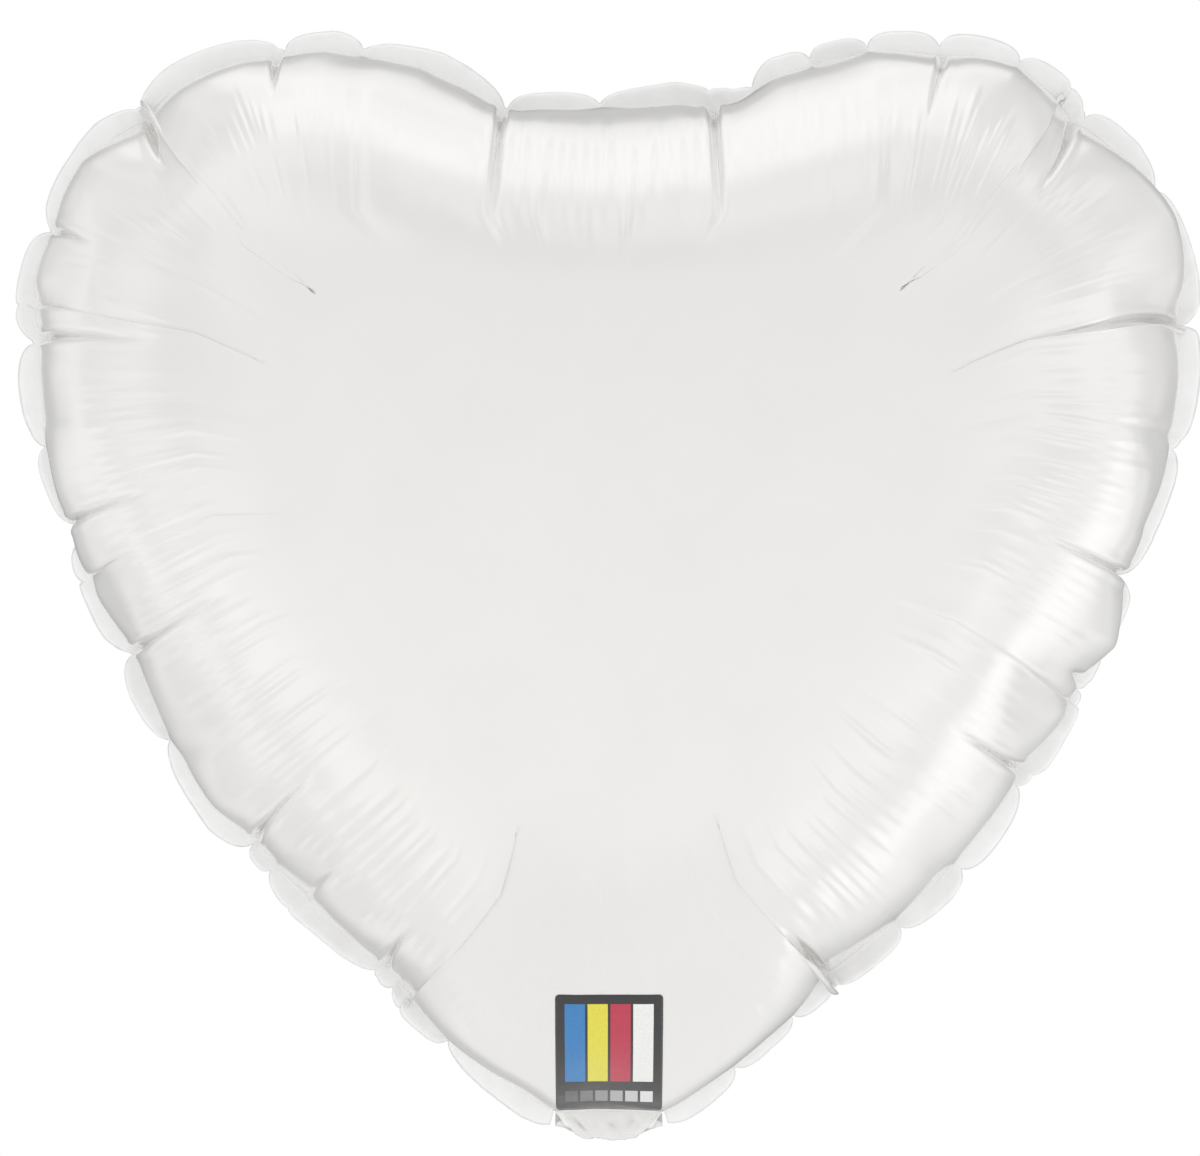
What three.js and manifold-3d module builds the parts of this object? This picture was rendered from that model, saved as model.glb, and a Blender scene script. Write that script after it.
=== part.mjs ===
// An inflated heart-shaped foil balloon with a flat welded margin, a short neck, a tail folded
// under its belly, and the self-sealing valve that lies between the films of the neck.
//
// Millimetres, +Z up. The heart stands in the XZ plane and its front faces -Y. The origin is the
// middle of the neck, where the weld line of the heart ends and a ribbon or a stick's cup holds it.
import * as THREE from "three";
import { mergeVertices } from "three/addons/utils/BufferGeometryUtils.js";
import Module from "manifold-3d";

const wasm = await Module();
wasm.setup();

// ---- Driving dimensions ------------------------------------------------------------------------

const FILM = 0.5; // thickness that stands in for a 0.03 mm foil film
const LINER = 0.3; // thickness that stands in for a 0.05 mm valve film
const GAP = 0.3; // air between two films that touch

const HALF_DEPTH = 98; // from the weld plane to the crown of one panel
const MARGIN = 6; // flat border outside the weld line
const CROWN_Z = 185; // height of the crown of the panels above the neck

const NECK_HALF_WIDTH = 17;
const NECK_DROP = 6.2; // neck below the weld line, down to where the fold starts
const FOLD_Z = -7.2; // height of the living hinge
const TAIL_START = 2.6; // distance from the hinge to the first straight stretch of the tail
const TAIL_LENGTH = 62;
const TAIL_REST_DEG = 105; // how far the tail is folded back from hanging straight down
const TAIL_CORNER = 2.5;

const LINER_HALF_WIDTH = 12;
const LINER_TOP = 6; // top of the welded stretch of the valve, inside the heart
const LIP_LENGTH = 46;
const LIP_GAP = 0.4; // between a lip and the welded stretch below it
const INLET_RADIUS = 4; // hole that the inflation nozzle goes through
const INLET_FROM_END = 17;

const LABEL_HALF_WIDTH = 16.5;
const LABEL_LOW = 1.8;
const LABEL_HIGH = 41;
const LABEL_LIFT = 0.6; // measured along Y, which leaves less across a steep face
const LABEL_THICK = 0.6;

// Half the stack of films in the neck: two liners between two leaves, with air between them all.
const LEAF_INNER = GAP / 2 + LINER + GAP;
const LEAF_OUTER = LEAF_INNER + FILM;

// ---- Materials ---------------------------------------------------------------------------------

const foil = new THREE.MeshStandardMaterial({ color: 0xe9e9e7, roughness: 0.28, metalness: 0.35 });
const liner = new THREE.MeshStandardMaterial({ color: 0xdfe3e4, roughness: 0.35, metalness: 0 });
const ink = new THREE.MeshStandardMaterial({ color: 0x101010, roughness: 0.4, metalness: 0 });

// ---- Helpers -----------------------------------------------------------------------------------

// A geometry from corner points and triangles that share them.
function indexed(points, triangles) {
  const geometry = new THREE.BufferGeometry();
  geometry.setAttribute("position", new THREE.Float32BufferAttribute(points.flatMap((p) => p.toArray()), 3));
  geometry.setIndex(triangles.flat());
  return geometry;
}

function toManifold(geometry) {
  const bare = geometry.clone();
  bare.deleteAttribute("normal");
  bare.deleteAttribute("uv");
  const merged = mergeVertices(bare, 1e-4);
  return new wasm.Manifold(
    new wasm.Mesh({
      numProp: 3,
      vertProperties: merged.attributes.position.array,
      triVerts: new Uint32Array(merged.index.array),
    }),
  );
}

function fromManifold(manifold) {
  const mesh = manifold.getMesh();
  const geometry = new THREE.BufferGeometry();
  geometry.setAttribute("position", new THREE.BufferAttribute(mesh.vertProperties, 3));
  geometry.setIndex(new THREE.BufferAttribute(mesh.triVerts, 1));
  return geometry;
}

function named(name, geometry, material) {
  const mesh = new THREE.Mesh(geometry, material);
  mesh.name = name;
  return mesh;
}

// ---- The heart's weld line ---------------------------------------------------------------------

// Right half of the weld line from the notch to the neck, as Bezier stretches, each with the number
// of steps it is drawn in. The film between the lobes is pulled straight, so the notch is shallow.
const RIGHT_HALF = [
  { points: [[0, 315], [25, 314.5], [70, 335], [102, 335]], steps: 11 },
  { points: [[102, 335], [142, 335], [180.5, 290], [180.5, 244]], steps: 13 },
  { points: [[180.5, 244], [180.5, 205], [142.6, 119.5], [112, 82.5]], steps: 18 },
  { points: [[112, 82.5], [89.7, 55.5], [43.6, 13.8], [NECK_HALF_WIDTH, 0]], steps: 14 },
];
// The open mouth of the heart, across the neck from right to left.
const MOUTH_X = [13, 4.4, -4.4, -13];

function weldLine() {
  const right = [];
  for (const { points, steps } of RIGHT_HALF) {
    const curve = new THREE.CubicBezierCurve(...points.map(([x, z]) => new THREE.Vector2(x, z)));
    right.push(...curve.getSpacedPoints(steps).slice(0, -1));
  }
  const corner = new THREE.Vector2(NECK_HALF_WIDTH, 0);
  const mouth = MOUTH_X.map((x) => new THREE.Vector2(x, 0));
  const left = [...right.slice(1), corner].reverse().map((p) => new THREE.Vector2(-p.x, p.y));
  return [...right, corner, ...mouth, ...left];
}

const WELD = weldLine();

// Outward direction of the weld line at one of its points.
function outward(index) {
  const before = WELD[(index + WELD.length - 1) % WELD.length];
  const after = WELD[(index + 1) % WELD.length];
  const along = after.clone().sub(before).normalize();
  return new THREE.Vector2(-along.y, along.x);
}

// The outer edge of the margin. Below the mouth it becomes the neck's leaf, down to the fold.
function marginPoint(index) {
  const weld = WELD[index];
  if (weld.y === 0) return new THREE.Vector2(weld.x, -NECK_DROP);
  const edge = weld.clone().addScaledVector(outward(index), MARGIN);
  edge.y = Math.max(edge.y, -NECK_DROP);
  return edge;
}

// ---- Foil panels -------------------------------------------------------------------------------

// Rings of a panel from its crown to its weld line, as shares of the way out.
const RING_SHARES = [0.25, 0.48, 0.67, 0.8, 0.885, 0.945, 0.98, 0.995, 1];
const PROFILE_POWER = 2.4;
const PROFILE_ROOT = 0.45;

// Depth of a panel at a share of the way from crown to weld line: flat at the crown, and upright
// where it meets the weld, which is how a film that can't stretch fills out.
function domeDepth(share) {
  return HALF_DEPTH * Math.pow(1 - Math.pow(share, PROFILE_POWER), PROFILE_ROOT);
}

// How far a panel's outer face stands off the weld plane, beside its dome's depth: the two films
// close on each other all along the weld, and stand further apart where the liners lie in the mouth.
const WELD_FACE = GAP / 2 + FILM;
const rimFace = (weld) => (weld.y === 0 && Math.abs(weld.x) < NECK_HALF_WIDTH ? LEAF_OUTER : WELD_FACE);

// Outer face of the front panel: the crown point, then one ring after another, then the margin.
function panelFace(withMargin) {
  const points = [new THREE.Vector3(0, -HALF_DEPTH - WELD_FACE, CROWN_Z)];
  for (const share of RING_SHARES) {
    for (const weld of WELD) {
      const x = weld.x * share;
      const z = CROWN_Z + (weld.y - CROWN_Z) * share;
      const stand = share === 1 ? rimFace(weld) : WELD_FACE;
      points.push(new THREE.Vector3(x, -domeDepth(share) - stand, z));
    }
  }
  if (withMargin) {
    WELD.forEach((weld, i) => {
      const edge = marginPoint(i);
      points.push(new THREE.Vector3(edge.x, -rimFace(weld), edge.y));
    });
  }
  const rings = RING_SHARES.length + (withMargin ? 1 : 0);
  const count = WELD.length;
  const at = (ring, i) => 1 + ring * count + (i % count);
  const triangles = [];
  for (let i = 0; i < count; i++) {
    triangles.push([0, at(0, i + 1), at(0, i)]);
    for (let ring = 0; ring + 1 < rings; ring++) {
      triangles.push([at(ring, i), at(ring + 1, i + 1), at(ring + 1, i)]);
      triangles.push([at(ring, i), at(ring, i + 1), at(ring + 1, i + 1)]);
    }
  }
  return { points, triangles, rim: WELD.map((_, i) => at(rings - 1, i)) };
}

// A closed shell: the face, the same face moved in by the film's thickness, and the edge between.
function frontPanel() {
  const { points, triangles, rim } = panelFace(true);
  const skin = indexed(points, triangles);
  skin.computeVertexNormals();
  const normal = skin.attributes.normal;
  const inner = points.map((p, i) => {
    const n = new THREE.Vector3().fromBufferAttribute(normal, i);
    return p.clone().addScaledVector(n, -FILM);
  });
  const shift = points.length;
  const inside = triangles.map(([a, b, c]) => [a + shift, c + shift, b + shift]);
  const edge = rim.flatMap((a, i) => {
    const b = rim[(i + 1) % rim.length];
    return [[a, b, b + shift], [a, b + shift, a + shift]];
  });
  return indexed([...points, ...inner], [...triangles, ...inside, ...edge]);
}

// The same shell seen in the weld plane's mirror, with its faces turned round again.
function mirrored(geometry) {
  const back = geometry.clone();
  back.scale(1, -1, 1);
  const index = back.index.array;
  for (let i = 0; i < index.length; i += 3) {
    [index[i + 1], index[i + 2]] = [index[i + 2], index[i + 1]];
  }
  return back;
}

// ---- Printed label -----------------------------------------------------------------------------

// Everything behind the front panel's face, moved forward by a lift, as one solid.
function behindFace(lift) {
  const { points, triangles, rim } = panelFace(false);
  const back = points.length;
  const closing = rim.map((a, i) => [a, rim[(i + 1) % rim.length], back]);
  const solid = indexed([...points, new THREE.Vector3(0, 20, CROWN_Z)], [...triangles, ...closing]);
  solid.translate(0, -lift, 0);
  return toManifold(solid);
}

// A printed patch that follows the film, square as seen from the front.
function printedLabel() {
  const height = LABEL_HIGH - LABEL_LOW;
  const cutter = new THREE.BoxGeometry(2 * LABEL_HALF_WIDTH, 2 * HALF_DEPTH, height);
  cutter.translate(0, -HALF_DEPTH, LABEL_LOW + height / 2);
  const layer = behindFace(LABEL_LIFT + LABEL_THICK).subtract(behindFace(LABEL_LIFT));
  return fromManifold(layer.intersect(toManifold(cutter)));
}

// ---- Strips: neck liners, lips, tail -----------------------------------------------------------

// A flat strip across X, between two depths along Y and two heights along Z.
function strip(halfWidth, yLow, yHigh, zLow, zHigh) {
  const geometry = new THREE.BoxGeometry(2 * halfWidth, yHigh - yLow, zHigh - zLow);
  return geometry.translate(0, (yLow + yHigh) / 2, (zLow + zHigh) / 2);
}

// One foil leaf of the tail, hanging down from the hinge, with rounded lower corners.
function tailLeaf(yLow, yHigh, inlet) {
  const top = -TAIL_START;
  const bottom = -TAIL_START - TAIL_LENGTH;
  const shape = new THREE.Shape();
  shape.moveTo(-NECK_HALF_WIDTH, top);
  shape.lineTo(-NECK_HALF_WIDTH, bottom + TAIL_CORNER);
  shape.quadraticCurveTo(-NECK_HALF_WIDTH, bottom, -NECK_HALF_WIDTH + TAIL_CORNER, bottom);
  shape.lineTo(NECK_HALF_WIDTH - TAIL_CORNER, bottom);
  shape.quadraticCurveTo(NECK_HALF_WIDTH, bottom, NECK_HALF_WIDTH, bottom + TAIL_CORNER);
  shape.lineTo(NECK_HALF_WIDTH, top);
  shape.closePath();
  if (inlet) {
    const hole = new THREE.Path();
    hole.absarc(0, bottom + INLET_FROM_END, INLET_RADIUS, 0, 2 * Math.PI, true);
    shape.holes.push(hole);
  }
  const leaf = new THREE.ExtrudeGeometry(shape, {
    depth: yHigh - yLow,
    bevelEnabled: false,
    curveSegments: 10,
  });
  leaf.rotateX(Math.PI / 2); // the drawing stands up, and its thickness runs from 0 to -Y
  return leaf.translate(0, yHigh, 0);
}

// The tail's films, hanging straight down from the hinge in their own frame.
function tail() {
  const group = new THREE.Group();
  const end = -TAIL_START - TAIL_LENGTH;
  const linerEnd = end + INLET_FROM_END + INLET_RADIUS + 2;
  group.add(named("tail_foil_front", tailLeaf(-LEAF_OUTER, -LEAF_INNER, true), foil));
  group.add(named("tail_foil_back", tailLeaf(LEAF_INNER, LEAF_OUTER, false), foil));
  for (const [side, sign] of [["front", -1], ["back", 1]]) {
    const near = (sign * GAP) / 2;
    const far = sign * (GAP / 2 + LINER);
    const piece = strip(LINER_HALF_WIDTH, Math.min(near, far), Math.max(near, far), linerEnd, -TAIL_START);
    group.add(named(`tail_liner_${side}`, piece, liner));
  }
  group.position.set(0, 0, FOLD_Z);
  group.rotation.x = THREE.MathUtils.degToRad(TAIL_REST_DEG);
  return group;
}

// The bend of all the films between neck and tail, drawn in the YZ plane and extruded along X.
function neckFold() {
  const turn = THREE.MathUtils.degToRad(TAIL_REST_DEG);
  const start = TAIL_START - GAP;
  const point = (across, down) =>
    new THREE.Vector2(
      across * Math.cos(turn) + down * Math.sin(turn),
      FOLD_Z + across * Math.sin(turn) - down * Math.cos(turn),
    );
  const shape = new THREE.Shape();
  const top = -NECK_DROP - GAP;
  shape.moveTo(LEAF_OUTER, top);
  shape.lineTo(-LEAF_OUTER, top);
  const outerEnd = point(-LEAF_OUTER, start);
  shape.quadraticCurveTo(-LEAF_OUTER, FOLD_Z - LEAF_OUTER, outerEnd.x, outerEnd.y);
  const innerEnd = point(LEAF_OUTER, start);
  shape.lineTo(innerEnd.x, innerEnd.y);
  shape.closePath();
  const geometry = new THREE.ExtrudeGeometry(shape, {
    depth: 2 * NECK_HALF_WIDTH,
    bevelEnabled: false,
    curveSegments: 8,
  });
  geometry.translate(0, 0, -NECK_HALF_WIDTH);
  // The drawing's x and y become Y and Z, and its depth becomes X.
  return geometry.applyMatrix4(new THREE.Matrix4().set(0, 0, 1, 0, 1, 0, 0, 0, 0, 1, 0, 0, 0, 0, 0, 1));
}

// ---- Assembly ----------------------------------------------------------------------------------

const balloon = new THREE.Group();
const front = frontPanel();
balloon.add(named("front_foil_panel", front, foil));
balloon.add(named("back_foil_panel", mirrored(front), foil));
balloon.add(named("printed_label", printedLabel(), ink));

for (const [side, sign] of [["front", -1], ["back", 1]]) {
  const near = (sign * GAP) / 2;
  const far = sign * (GAP / 2 + LINER);
  const depths = [Math.min(near, far), Math.max(near, far)];
  const lipFoot = LINER_TOP + LIP_GAP;
  balloon.add(
    named(`valve_liner_${side}`, strip(LINER_HALF_WIDTH, ...depths, -NECK_DROP, LINER_TOP), liner),
    named(`valve_lip_${side}`, strip(LINER_HALF_WIDTH, ...depths, lipFoot, lipFoot + LIP_LENGTH), liner),
  );
}

balloon.add(named("neck_fold", neckFold(), foil));
balloon.add(tail());

export default balloon;
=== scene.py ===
"""A heart-shaped foil balloon: two films blown up from their flat cut, with the wrinkles, creases and
scalloped margin that the weld line gets, a printed label, and a neck whose tail is folded behind.

Lengths are in millimetres until a mesh is made. On the flat cut a place is (x, z). On the blown-up
film, "at" is the distance along the weld line from the notch, clockwise as seen from the front, and
"deep" is the distance on the film from the weld line inwards.
"""

import math

import bpy
import numpy as np
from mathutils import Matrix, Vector
from mathutils.bvhtree import BVHTree
from mathutils.geometry import delaunay_2d_cdt


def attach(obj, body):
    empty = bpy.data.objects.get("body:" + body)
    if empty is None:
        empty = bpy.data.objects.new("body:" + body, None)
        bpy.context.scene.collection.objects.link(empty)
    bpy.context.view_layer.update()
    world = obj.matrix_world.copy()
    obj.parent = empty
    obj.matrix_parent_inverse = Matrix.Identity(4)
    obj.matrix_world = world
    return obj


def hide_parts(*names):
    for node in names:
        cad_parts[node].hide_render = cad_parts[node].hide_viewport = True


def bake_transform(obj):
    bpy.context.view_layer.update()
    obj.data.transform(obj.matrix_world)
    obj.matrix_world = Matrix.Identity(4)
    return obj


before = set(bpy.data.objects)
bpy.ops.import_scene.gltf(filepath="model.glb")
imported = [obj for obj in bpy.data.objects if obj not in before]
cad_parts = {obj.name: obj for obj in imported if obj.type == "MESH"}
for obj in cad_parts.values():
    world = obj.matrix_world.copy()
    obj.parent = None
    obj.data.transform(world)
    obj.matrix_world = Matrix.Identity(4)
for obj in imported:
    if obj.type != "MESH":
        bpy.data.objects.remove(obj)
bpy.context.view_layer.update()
MM = 0.001

# ---- Outlines ------------------------------------------------------------------------------------

NECK_HALF_WIDTH = 17

# Right halves, from the notch to the neck, as Bezier stretches that share their end points.
WELD_HALF = [
    (0, 315), (25, 314.5), (70, 335), (102, 335),
    (142, 335), (180.5, 290), (180.5, 244),
    (180.5, 205), (142.6, 119.5), (112, 82.5),
    (89.7, 55.5), (43.6, 13.8), (NECK_HALF_WIDTH, 0),
]  # fmt: skip
# The cut that pulls in to that weld line once it is full: wider, longer, and with hardly a notch.
CUT_HALF = [
    (0, 371.7), (30, 371.7), (60, 375.5), (100, 375.2),
    (150, 374.5), (192, 330), (210, 300),
    (222, 275), (224.5, 235), (223.5, 200),
    (222, 165), (190, 110), (165, 70),
    (140, 38), (100, 0), (75, -17),
    (58, -28), (30, -37), (NECK_HALF_WIDTH, -38),
]  # fmt: skip


def bezier(four, steps):
    """Points along one Bezier stretch, without its end."""
    t = np.linspace(0, 1, steps, endpoint=False)[:, None]
    a, b, c, d = (np.array(p, float) for p in four)
    return (1 - t) ** 3 * a + 3 * (1 - t) ** 2 * t * b + 3 * (1 - t) * t * t * c + t**3 * d


def along(line):
    """Distance along a closed line at each of its points, and once more back at its start."""
    ring = np.vstack([line, line[:1]])
    return np.concatenate([[0], np.cumsum(np.linalg.norm(np.diff(ring, axis=0), axis=1))])


def resample(line, count):
    """A closed line's points, evenly spaced from its first one."""
    ring = np.vstack([line, line[:1]])
    s = along(line)
    u = np.linspace(0, s[-1], count, endpoint=False)
    return np.stack([np.interp(u, s, ring[:, k]) for k in range(line.shape[1])], 1)


def closed_outline(half, count):
    """Both halves of a heart as one closed line, clockwise from the notch."""
    stretches = [bezier(half[k : k + 4], 200) for k in range(0, len(half) - 3, 3)]
    right = np.vstack([*stretches, [half[-1]]])
    left = right[:0:-1] * (-1, 1)
    return resample(np.vstack([right, left]), count)


def outward(line):
    """Unit normals of a clockwise closed line in the plane."""
    d = np.roll(line, -1, 0) - np.roll(line, 1, 0)
    d = d / np.linalg.norm(d, axis=1)[:, None]
    return np.stack([-d[:, 1], d[:, 0]], 1)


def blurred(values, rounds):
    """A closed row of values, each mixed with its neighbours again and again."""
    for _ in range(rounds):
        values = (np.roll(values, 1, 0) + 2 * values + np.roll(values, -1, 0)) / 4
    return values


def gap_to(line, points):
    """Distance of each point from a closed line."""
    side = np.roll(line, -1, 0) - line
    square = (side * side).sum(1)
    out = np.empty(len(points))
    for k in range(0, len(points), 1000):
        q = points[k : k + 1000, None]
        t = np.clip(((q - line) * side).sum(2) / square, 0, 1)
        out[k : k + 1000] = np.linalg.norm(q - line - t[..., None] * side, axis=2).min(1)
    return out


def within(line, points):
    """Which points lie inside a closed line."""
    x, z = points.T
    hit = np.zeros(len(points), bool)
    for a, b in zip(line, np.roll(line, -1, 0)):
        if a[1] != b[1]:
            spans = (a[1] > z) != (b[1] > z)
            hit ^= spans & (x < (b[0] - a[0]) * (z - a[1]) / (b[1] - a[1]) + a[0])
    return hit


def hex_grid(line, step, clear):
    """Points of a triangular grid inside a closed line, at least `clear` away from it."""
    low, high = line.min(0), line.max(0)
    rows = np.arange(low[1], high[1], step * math.sqrt(0.75))
    columns = np.arange(low[0], high[0], step)
    grid = np.array([(x + (k % 2) * step / 2, z) for k, z in enumerate(rows) for x in columns])
    grid = grid[within(line, grid)]
    return grid[gap_to(line, grid) > clear]


def triangulate(rim, points):
    """Triangles between points in the plane, whose first `rim` ones are the closed edge."""
    loop = [(i, (i + 1) % rim) for i in range(rim)]
    made = delaunay_2d_cdt([Vector(p) for p in points], loop, [], 1, 1e-6)
    faces = np.array(made[2])
    a, b, c = (points[faces[:, k]] for k in range(3))
    turned = (b[:, 0] - a[:, 0]) * (c[:, 1] - a[:, 1]) < (b[:, 1] - a[:, 1]) * (c[:, 0] - a[:, 0])
    faces[turned] = faces[turned][:, ::-1]
    return faces


# ---- Blowing the film up -------------------------------------------------------------------------

CUT_POINTS = 240
FILM_STEP = 9
ROUNDS = 2000
PRESSURE = 0.00018  # move of a point in one round, per square millimetre of film round it
SLACK = 0.15  # how much of a squeeze the film takes up itself: it wrinkles instead


def colour_classes(edges, count):
    """Groups of edges that share no point, so that all edges of a group can move at once."""
    used = [0] * count
    colour = np.empty(len(edges), int)
    for k, (a, b) in enumerate(edges.tolist()):
        free = ~(used[a] | used[b])
        bit = free & -free
        colour[k] = bit.bit_length() - 1
        used[a] |= bit
        used[b] |= bit
    return [np.where(colour == c)[0] for c in range(colour.max() + 1)]


def push(points, faces):
    """Gas pressure on each point: a third of the area vector of every face round it."""
    a, b, c = (points[faces[:, k]] for k in range(3))
    n = np.cross(b - a, c - a) / 6
    where = faces.ravel(order="F")
    return np.stack([np.bincount(where, np.tile(n[:, k], 3), len(points)) for k in range(3)], 1)


def inflate():
    """The front film blown up from its flat cut: the cut's points, their faces and their places.

    The film doesn't stretch, and gives way when it is squeezed. For the first half of the rounds its
    edge slides freely in the weld plane, and then it is drawn on to the weld line.
    """
    cut = closed_outline(CUT_HALF, CUT_POINTS)
    weld = closed_outline(WELD_HALF, 10 * CUT_POINTS)
    flat = np.vstack([cut, hex_grid(cut, FILM_STEP, FILM_STEP * 0.6)])
    faces = triangulate(CUT_POINTS, flat)
    edges = np.sort(np.vstack([faces[:, [0, 1]], faces[:, [1, 2]], faces[:, [2, 0]]]), 1)
    edges = np.unique(edges, axis=0)
    length = np.linalg.norm(flat[edges[:, 0]] - flat[edges[:, 1]], axis=1)
    groups = [(*edges[g].T, length[g]) for g in colour_classes(edges, len(flat))]
    shape = np.stack([flat[:, 0], -2 * np.sqrt(gap_to(cut, flat)), flat[:, 1]], 1)
    speed = np.zeros_like(shape)
    guide = None
    for k in range(ROUNDS):
        before = shape.copy()
        speed = speed * 0.97 + push(shape, faces) * PRESSURE
        shape += speed
        for i, j, rest in groups:
            d = shape[i] - shape[j]
            now = np.sqrt((d * d).sum(1))
            share = (now - rest) / now
            share *= np.where(share > 0, 0.5, 0.5 * SLACK)
            shape[i] -= d * share[:, None]
            shape[j] += d * share[:, None]
        edge = shape[:CUT_POINTS]
        edge[:, 1] = 0
        if k == ROUNDS // 2:
            guide = weld[np.linalg.norm(edge[:, None, [0, 2]] - weld, axis=2).argmin(1)]
        if guide is not None:
            edge[:, [0, 2]] += (guide - edge[:, [0, 2]]) * 0.3
        speed = shape - before
    return flat, faces, shape


def subdivided(points, faces, levels):
    """The smooth surface that a mesh's points span, as points and triangles."""
    mesh = bpy.data.meshes.new("scratch")
    mesh.from_pydata(points.tolist(), [], faces.tolist())
    obj = bpy.data.objects.new("scratch", mesh)
    bpy.context.scene.collection.objects.link(obj)
    obj.modifiers.new("smooth", "SUBSURF").levels = levels
    fine = obj.evaluated_get(bpy.context.evaluated_depsgraph_get()).to_mesh()
    fine.calc_loop_triangles()
    places = np.empty(len(fine.vertices) * 3)
    fine.vertices.foreach_get("co", places)
    corners = np.empty(len(fine.loop_triangles) * 3, int)
    fine.loop_triangles.foreach_get("vertices", corners)
    bpy.data.objects.remove(obj)
    bpy.data.meshes.remove(mesh)
    return places.reshape(-1, 3), corners.reshape(-1, 3)


class Film:
    """The smooth blown-up film, which says where each place of the flat cut went."""

    def __init__(self):
        flat, faces, shape = inflate()
        self.flat, self.faces = subdivided(np.c_[flat, np.zeros(len(flat))], faces, 2)
        self.shape, _ = subdivided(shape, faces, 2)
        self.tree = BVHTree.FromPolygons(self.flat.tolist(), self.faces.tolist())

    def places(self, wanted):
        """Where places of the flat cut are on the blown-up film."""
        face = np.array([self.tree.find_nearest((u, v, 0))[2] for u, v in wanted])
        a, b, c = (self.flat[self.faces[face, k], :2] for k in range(3))
        whole = turn(a, b, c)
        share_a, share_b = turn(wanted, b, c) / whole, turn(a, wanted, c) / whole
        share = np.clip(np.stack([share_a, share_b, 1 - share_a - share_b], 1), -0.5, 1.5)
        return (self.shape[self.faces[face]] * share[..., None]).sum(1)


def turn(p, q, r):
    """Twice the area of each triangle p, q, r in the plane, positive where it runs anticlockwise."""
    return (q[:, 0] - p[:, 0]) * (r[:, 1] - p[:, 1]) - (q[:, 1] - p[:, 1]) * (r[:, 0] - p[:, 0])


# ---- Wrinkles, creases and petals ----------------------------------------------------------------

RIM_POINTS = 1200
# Rings of points, by their distance from the weld line on the film.
DEPTHS = [
    0, 1.2, 2.6, 4.4, 6.6, 9.2, 12, 15, 18, 21, 24.5, 28, 32, 36, 40, 44, 48, 52, 56, 60, 64, 69, 74,
    80, 86, 92, 98, 104, 110, 116,
]  # fmt: skip
MARCH_END = 92  # further in, the rings shrink towards the middle of the heart
INNERMOST = DEPTHS[-1]
MARCH_BLUR = 60
COLUMN_GAP = 0.85  # between the columns of a film's mesh at the weld line
AT_CREASES, AT_PETAL_ENDS = 0.52, 0.4  # how much less that gap is there
SPREAD_START, SPREAD_END = 40, 90  # depths between which the columns become evenly spaced
BUCKLE_ROUNDS = 160
MARGIN = 7.6
MARGIN_ROWS = 6
FILM_THICK = 0.12
SEAM_LIFT = 0.14  # outer face of each film off the weld plane

# The main creases: where each one starts on the weld line, how deep into the film it reaches, how
# far sideways its inner end lies, and how deep its furrow is.
CREASES = [
    (-32, 112, -2, 3.4), (-105, 46, -3, 2.0), (-158, 48, -3, 2.4), (-203, 42, 0, 1.8),
    (-238, 84, 4, 2.4), (-297, 80, 0, 2.4), (-340, 88, 1, 2.4), (-411, 80, 5, 2.6),
    (-468, 66, 3, 2.3), (32, 112, -1, 3.2), (106, 60, -4, 2.0), (158, 66, 4, 2.8),
    (233, 96, 1, 2.4), (315, 88, 0, 2.8), (350, 30, 0, 1.6), (383, 76, 2, 2.6), (471, 74, 0, 2.6),
]  # fmt: skip

# How far the edge of the film stands out from the plain weld line: pulled in at the creases, and
# bulging over the margin between some of them.
SEAM = [
    (-541, 0), (-500, -2.5), (-450, -4), (-430, -2.5), (-411, -2.5), (-395, 1), (-370, 2), (-340, -1.5),
    (-320, 2.5), (-297, -1.5), (-265, 0.7), (-238, -1.3), (-220, 2.2), (-203, -1), (-180, 3),
    (-158, -3), (-140, -1.5), (-105, -4), (-88, 0), (-60, 1.2), (-46, -2), (-32, -6.8), (-18, -3),
    (0, 0), (22, -0.8), (32, -4.8), (40, -6.5), (52, -0.6), (80, 0.6), (106, -2), (130, 0.3),
    (158, -3), (180, 0.5), (200, 3), (220, 1.6), (233, -1.4), (265, 0.4), (315, -1.8), (336, 6),
    (350, 2), (362, 4.5), (383, -1), (420, 0.6), (471, -3.4), (500, -4.3), (541, 0),
]  # fmt: skip

# Where the margin's petals part, along the weld line.
PETAL_ENDS = [
    -541, -500, -474, -466, -421, -411, -370, -341, -302, -297, -271, -239, -204, -155, -103, -79,
    -31, -3, 45, 65, 83, 105, 130, 160, 191, 233, 273, 315, 337, 353, 388, 419, 445, 474, 490, 514,
    541,
]  # fmt: skip

# How strong the fine wrinkles are, along the weld line.
WRINKLED = [
    (-565, 0.3), (-500, 0.4), (-470, 0.9), (-410, 1.0), (-350, 1.0), (-300, 0.9), (-250, 0.5),
    (-210, 0.35), (-160, 0.3), (-130, 0.5), (-100, 0.4), (-60, 0.25), (-34, 0.3), (-24, 1.0),
    (24, 1.0), (40, 0.4), (90, 0.5), (106, 0.8), (160, 1.0), (175, 0.4), (230, 0.5), (300, 0.9),
    (400, 1.0), (470, 0.9), (500, 0.4), (565, 0.3),
]  # fmt: skip


def drawn_in(line, distance):
    """A ring shrunk towards its middle by a mean distance."""
    middle = line.mean(0)
    radius = np.linalg.norm(line - middle, axis=1).mean()
    return blurred(middle + (line - middle) * (1 - distance / radius), MARCH_BLUR)


def rings_inside(line, depths):
    """Rings of the flat cut at given distances from its edge, point under point."""
    rings = [line]
    for before, depth in zip(depths, depths[1:]):
        if depth > MARCH_END:
            rings.append(drawn_in(rings[-1], depth - before))
            continue
        steps = max(1, round((depth - before) / 2))
        for _ in range(steps):
            line = blurred(line - outward(line) * (depth - before) / steps, MARCH_BLUR)
        rings.append(line)
    return rings


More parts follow.
